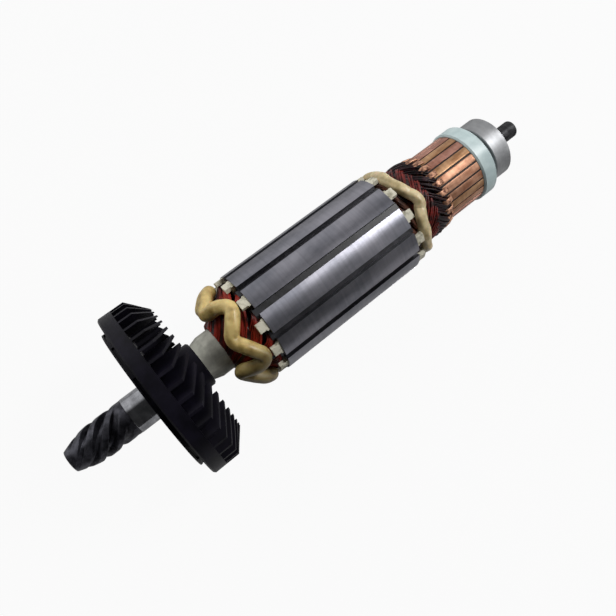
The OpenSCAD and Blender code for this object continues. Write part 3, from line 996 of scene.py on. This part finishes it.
FRONT_HEAD = Head(
    "front",
    face=LAYOUT.stack_start,
    way=-1,
    length=12.2,
    profile=(
        (0.0, -0.6), (0.11, 0.0), (0.3, 0.5), (0.48, 0.0),
        (0.63, -1.4), (0.78, -3.0), (0.9, -4.2), (1.0, -4.8),
    ),
)
REAR_HEAD = Head(
    "rear",
    face=LAYOUT.stack_end,
    way=1,
    length=6.6,
    profile=((0.0, -0.6), (0.22, 0.0), (0.52, 0.2), (0.78, -0.4), (1.0, -1.6)),
)


@dataclass
class WindingWires:
    """Enamelled wires over one winding head, a bundle of turns for each coil."""

    head: Head
    finish: Finish
    seed: int
    slot_reach: float = 0.3
    sweep: float = 75.0
    relief: float = 0.55
    flare: float = 2.7
    flare_crown: float = 0.2
    free_start: float = 1.8
    free_length: float = 3.4
    slot_share: float = 0.62
    wire_radius: float = 0.3
    drift: float = 1.6
    drift_wave: float = 3.0
    swell: float = 0.2
    turns: int = 8
    steps: int = 22
    crowding: float = 1.3

    def bundle(self) -> Piece:
        """Make the first coil's turns over the head."""
        dice = random.Random(self.seed)
        far = self.head.start + self.head.length
        paths = []
        for k in range(self.turns):
            off = (k + 0.5) / self.turns - 0.5
            crown = abs(math.cos(math.pi * off))
            drift = dice.uniform(-self.drift, self.drift)
            swell = dice.uniform(-self.swell, self.swell)
            path = []
            for j in range(self.steps + 1):
                share = (j / self.steps) ** self.crowding
                reach = self.slot_reach + share * (far - self.slot_reach)
                # How far the wire has left the slot's grip, from 0 to 1
                free = ease((reach - self.free_start) / self.free_length)
                radius = (
                    self.head.radius_at(reach)
                    - self.relief * free * (1 - crown)
                    + self.flare * (1 - free) * (1 - self.flare_crown * (1 - crown))
                    + swell
                )
                spread = LAYOUT.slot_pitch * off * (self.slot_share + (1 - self.slot_share) * free)
                angle = LAYOUT.slot_angle + self.sweep * share + spread
                angle += drift * math.sin(self.drift_wave * share)
                path.append(place(self.head.x(reach), radius, angle))
            paths.append(path)
        return wires(f"{self.head.side}_coil_1", paths, self.wire_radius)

    def build(self) -> None:
        """Build the first coil's bundle and turn its copies round the shaft."""
        first = self.bundle()
        fit(first, self.finish, Slot.MAGNET_WIRE)
        for k in range(1, LAYOUT.slot_count):
            copy = turned_copy(first, f"{self.head.side}_coil_{k + 1}", LAYOUT.slot_pitch * k)
            fit(copy, self.finish, Slot.MAGNET_WIRE)


@dataclass
class LacingCord:
    """A thick cord laced zigzag over a winding head as one closed loop.

    The route gives distances from the stack and angles. Where it is tied it swells by a share of
    its radius, and past the rear head it lies on the hump of the leads.
    """

    head: Head
    finish: Finish
    radius: float
    route: tuple[Range, ...]
    swell: float = 0.0
    knot_angles: tuple[float, ...] = (57.0, -30.0)
    knot_width: float = 9.0
    rounding: float = 0.2
    lift: float = 0.15
    hump_radius: float = 13.5
    hump_drop: float = 1.8
    hump_middle: float = 11.495
    hump_half: float = 4.05
    rows: int = 280
    columns: int = 24
    look_ahead: float = 0.4
    shifts: tuple[float, ...] = (-1.0, -0.5, 0.0, 0.5, 1.0)

    def surface(self, reach: float) -> float:
        """Give the radius of what lies under the cord at a distance from the stack."""
        if self.head is FRONT_HEAD or reach <= self.head.start + self.head.length:
            return self.head.radius_at(reach)
        off = (reach - self.hump_middle) / self.hump_half
        return self.hump_radius - self.hump_drop * off * off

    def resting(self, reach: float) -> float:
        """Give the radius where the cord's middle rests, like a ball that rolls on the surface."""
        spots = [k / 6 for k in range(-6, 7)]
        return self.lift + max(
            self.surface(reach + u * self.radius) + self.radius * math.sqrt(1 - u * u)
            for u in spots
        )

    def middle(self, along: float) -> Vector:
        """Give the cord's middle at a share along its route.

        The runs are straight and their corners rounded, by the mean of a few places on them.
        """
        count = len(self.route)
        reach = angle = 0.0
        for shift in self.shifts:
            spot = (along % 1.0) * count + shift * self.rounding
            k = math.floor(spot)
            (a, turn_a), (b, turn_b) = self.route[k % count], self.route[(k + 1) % count]
            turn_a += 360 * (k // count)
            turn_b += 360 * ((k + 1) // count)
            reach += (a + (b - a) * (spot - k)) / len(self.shifts)
            angle += (turn_a + (turn_b - turn_a) * (spot - k)) / len(self.shifts)
        return place(self.head.x(reach), self.resting(reach), angle)

    def girth(self, spot: Vector) -> float:
        """Give the cord's radius at a place, with its swelling at the knots."""
        angle = math.degrees(math.atan2(-spot.y, spot.z))
        offs = ((angle - knot) / self.knot_width for knot in self.knot_angles)
        return self.radius * (1 + self.swell * sum(math.exp(-off * off) for off in offs))

    def point(self, along: float, around: float) -> Vector:
        """Give the cord's surface point at a share along and a share round."""
        step = self.look_ahead / self.rows
        here = self.middle(along)
        ahead = (self.middle(along + step) - self.middle(along - step)).normalized()
        side = ahead.cross(Vector((0, here.y, here.z)).normalized()).normalized()
        up = side.cross(ahead)
        way = math.cos(math.tau * around) * up + math.sin(math.tau * around) * side
        return here + self.girth(here) * MM * way

    def build(self) -> None:
        """Wrap the cord round its route and fit it."""
        side = self.head.side
        piece = wrapped(f"{side}_lacing_cord", self.rows, self.columns, self.point, capped=False)
        smooth(piece, angle=80)
        fit(piece, self.finish, Slot.LACING_CORD, f"{side}_lacing")


FRONT_CORD = LacingCord(
    FRONT_HEAD,
    SHADE_PAINTED_CORD,
    radius=2.3,
    route=(
        (5.2, -65), (12.1, -38), (4.4, -9), (10.9, 20), (4.7, 57), (14.2, 76), (4.4, 113),
        (11, 134), (5.4, 154), (11, 176), (5.4, 202), (11, 228), (5.4, 250), (11, 272),
    ),
)
REAR_CORD = LacingCord(
    REAR_HEAD,
    PALE_CORD,
    radius=1.9,
    swell=0.22,
    route=(
        (4.9, -68), (5.9, -44), (4.8, -22), (8.9, 20), (5.6, 44), (4.8, 60), (5.0, 80),
        (8.2, 105), (5.4, 135), (8.2, 165), (5.4, 195), (8.2, 225), (5.4, 250), (8.2, 272),
    ),
)


@dataclass(frozen=True)
class LeadLayer:
    """One slanting layer of coil ends between the rear head and the commutator's hooks.

    The profile gives the radius at places along the shaft; sink is the layer's depth under it.
    The wires turn by the sweep, and the plays let each depart a little from the rule.
    """

    name: str
    finish: Finish
    profile: tuple[Range, ...]
    sweep: float
    sink: float
    count: int
    seed: int
    wire_radius: float = 0.34
    steps: int = 14
    aim_play: float = 2.0
    lift_play: Range = (-0.3, 0.2)
    bow_play: float = 4.0
    end_play: float = 0.9

    def build(self) -> None:
        """Make and fit the layer as one mesh."""
        dice = random.Random(self.seed)
        start, end = self.profile[0][0], self.profile[-1][0]
        paths = []
        for k in range(self.count):
            aim = dice.uniform(-self.aim_play, self.aim_play)
            angle = LAYOUT.slot_angle + 360 * k / self.count + aim
            lift = dice.uniform(*self.lift_play) - self.sink
            bow = dice.uniform(-self.bow_play, self.bow_play)
            reach = end - dice.uniform(0.0, self.end_play)
            path = []
            for j in range(self.steps + 1):
                u = j / self.steps
                x = start + (reach - start) * u
                bent = angle + self.sweep * u + bow * math.sin(math.pi * u)
                path.append(place(x, between(self.profile, x) + lift, bent))
            paths.append(path)
        piece = wires(self.name, paths, self.wire_radius)
        fit(piece, self.finish, Slot.LEAD_WIRE)


# Red leads near the head, then two layers of dark ones over their ends and under the hooks
RED_RUN = ((103.4, 12.7), (105.0, 13.3), (107.6, 13.55), (109.6, 13.4), (111.2, 12.8))
DARK_RUN = (
    (107.4, 12.7), (109.0, 13.2), (110.8, 13.5), (112.6, 13.5),
    (114.2, 13.25), (115.6, 12.75), (116.7, 12.3),
)
LEAD_LAYERS = (
    LeadLayer("red_leads", MAROON_LEAD, RED_RUN, sweep=-44.0, sink=0.0, count=84, seed=3),
    LeadLayer("deep_leads", LEAD_WIRE, DARK_RUN, sweep=36.0, sink=0.6, count=84, seed=4),
    LeadLayer("dark_leads", LEAD_WIRE, DARK_RUN, sweep=36.0, sink=0.0, count=72, seed=5),
)


@dataclass
class Commutator:
    """Turned copper bars with rounded edges and staked hooks, and the mica between the bars."""

    bar_height: float = 3.6
    bar_arc_steps: int = 6
    slit: float = 0.62
    rounding: float = 0.1
    dust_depth: float = 0.22
    strip_inset: float = 0.5
    strip_bite: float = 0.02
    hook_width: float = 1.9
    hook_thickness: float = 0.55
    hook_lift: Range = (-0.12, 0.1)
    hook_play: float = 0.3
    hook_shortening: float = 0.7
    short_hook_angle: float = 48.0
    tarnish_seed: int = 2

    def bar(self) -> Piece:
        """Spin one bar's outline through its share of the ring and round its edges."""
        arc = LAYOUT.bar_pitch - math.degrees(self.slit / LAYOUT.track_radius)
        ends = {-1: LAYOUT.bars_start, 1: LAYOUT.bars_end}
        radii = {-1: LAYOUT.track_radius - self.bar_height, 1: LAYOUT.track_radius}
        deselect()
        bpy.ops.mesh.primitive_plane_add(size=1.0)
        piece = bpy.context.object
        for point in piece.data.vertices:
            end, level = round(2 * point.co.x), round(2 * point.co.y)
            point.co = place(ends[end], radii[level], arc / 2)
        with editing():
            bpy.ops.mesh.spin(
                steps=self.bar_arc_steps, angle=math.radians(arc), center=(0, 0, 0),
                axis=(1, 0, 0), use_auto_merge=False, dupli=False,
            )
        outward(piece)
        settle(piece, "bar_1")
        rounded(piece, self.rounding)
        smooth(piece)
        return piece

    def strips(self) -> Piece:
        """Lay the mica with its packed carbon dust in the slits, a little below the bars; their
        near black finish is partly painted shade of the slits.
        """
        low = LAYOUT.track_radius - self.bar_height
        high = LAYOUT.track_radius - self.dust_depth
        start, end = LAYOUT.bars_start + self.strip_inset, LAYOUT.bars_end
        bpy.ops.mesh.primitive_cube_add(
            size=1.0,
            location=((start + end) / 2 * MM, 0, (low + high) / 2 * MM),
            scale=((end - start) * MM, (self.slit + self.strip_bite) * MM, (high - low) * MM),
        )
        first = settle(bpy.context.object, "strip")
        copies = [
            turned_copy(first, f"strip_{k}", LAYOUT.slot_angle + k * LAYOUT.bar_pitch)
            for k in range(LAYOUT.bar_count)
        ]
        bpy.data.objects.remove(first)
        deselect()
        for copy in copies:
            copy.select_set(True)
        bpy.context.view_layer.objects.active = copies[0]
        bpy.ops.object.join()
        return settle(bpy.context.object, "mica_dust_and_slit_shade")

    def hook(self, name: str, seed: int, angle: float) -> Piece:
        """Bend one hook over the bar's end as a rounded strip.

        Args:
            name: the piece's name.
            seed: seed of the hook's small irregularities.
            angle: its bar's angle; hooks on one side were pressed shorter.

        Returns:
            The hook at its place.
        """
        dice = random.Random(seed)
        lift = dice.uniform(*self.hook_lift)
        shorter = self.hook_shortening * math.cos(math.radians(angle - self.short_hook_angle))
        back = dice.uniform(-self.hook_play, self.hook_play) - shorter
        # Distances from the bar's end and heights over the track, from the hook's tip to its root
        route = (
            (4.9 + back, -0.2), (4.5 + back, 0.15 + lift), (3.3, 0.5 + lift),
            (2.1, 0.8 + lift), (1.0, 0.65), (0.1, 0.0),
        )
        curve = round_curve("hook", self.hook_thickness / 2, resolution=2)
        curve.extrude = (self.hook_width - self.hook_thickness) / 2 * MM
        spline = curve.splines.new("BEZIER")
        spline.bezier_points.add(len(route) - 1)
        for point, (x, height) in zip(spline.bezier_points, route):
            point.co = Vector((LAYOUT.bars_start + x, LAYOUT.track_radius + height, 0)) * MM
            point.handle_left_type = point.handle_right_type = "AUTO"
        spline.resolution_u = 3
        strip = added("hook", curve)
        strip.rotation_euler = (math.pi / 2, 0, 0)
        piece = meshed(strip, name)
        smooth(piece, angle=60)
        turn(piece, angle)
        return piece

    def build(self) -> None:
        """Build the bars and hooks round the ring, then the strips between the bars."""
        dice = random.Random(self.tarnish_seed)
        bar = self.bar()
        for k in range(LAYOUT.bar_count):
            angle = LAYOUT.slot_angle + (k + 0.5) * LAYOUT.bar_pitch
            piece = turned_copy(bar, f"track_bar_{k + 1}", angle)
            hook = self.hook(f"hook_{k + 1}", k, angle)
            for part, finish in ((piece, dice.choice(TRACK_COPPERS)), (hook, HOOK_COPPER)):
                fit(part, finish, Slot.COMM_COPPER, f"commutator_bar_{k + 1}")
        bpy.data.objects.remove(bar)
        fit(self.strips(), MICA, Slot.MICA, "mica_strips")


# Finishes of the frame's own pieces that stay as they are
FRAME_FINISHES: dict[str, Finish] = {
    "fan": FAN_NYLON,
    "insulating_sleeve": SLEEVE_TUBE,
    "lamination_stack": STACK_STEEL,
    "front_end_insulator": END_BOARD,
    "rear_end_insulator": END_BOARD,
    "slot_liners": SLOT_PAPER,
    # Coil bodies under the wires and leads carry painted shade of the gaps between them
    "winding": COIL_GAP_SHADE,
    "commutator_leads": COIL_GAP_SHADE,
    "commutator_hub": HUB_RESIN,
    "end_ring": RING_MELAMINE,
    "bearing_inner_ring": RACE_STEEL,
    "bearing_outer_ring": RACE_STEEL,
    "bearing_cage": CAGE_STEEL,
    "bearing_balls": BALL_STEEL,
    "bearing_front_shield": SHADED_SHIELD_STEEL,
    "bearing_rear_shield": SHADED_SHIELD_STEEL,
    **{f"slot_wedge_{k + 1}": WEDGE_FIBRE for k in range(LAYOUT.slot_count)},
}


def finish_frame(nodes: dict[str, Piece]) -> None:
    """Dress the frame's own pieces, which keep their shapes."""
    for name, finish in FRAME_FINISHES.items():
        dress(nodes[name], finish.build())
        LOG.info("node %s: %s", name, finish.name)


def main() -> None:
    """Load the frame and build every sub-assembly in order."""
    logging.basicConfig(level=logging.INFO, format="%(name)s: %(message)s")
    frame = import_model()
    Viewpoint().set_up()
    Studio().set_up()
    finish_frame(frame["nodes"])
    Shaft().build()
    WindingWires(FRONT_HEAD, MAGNET_WIRE, seed=7).build()
    WindingWires(REAR_HEAD, REAR_WIRE, seed=11).build()
    for group in (FRONT_CORD, REAR_CORD, *LEAD_LAYERS, Commutator()):
        group.build()
    deselect()


if __name__ == "__main__":
    main()
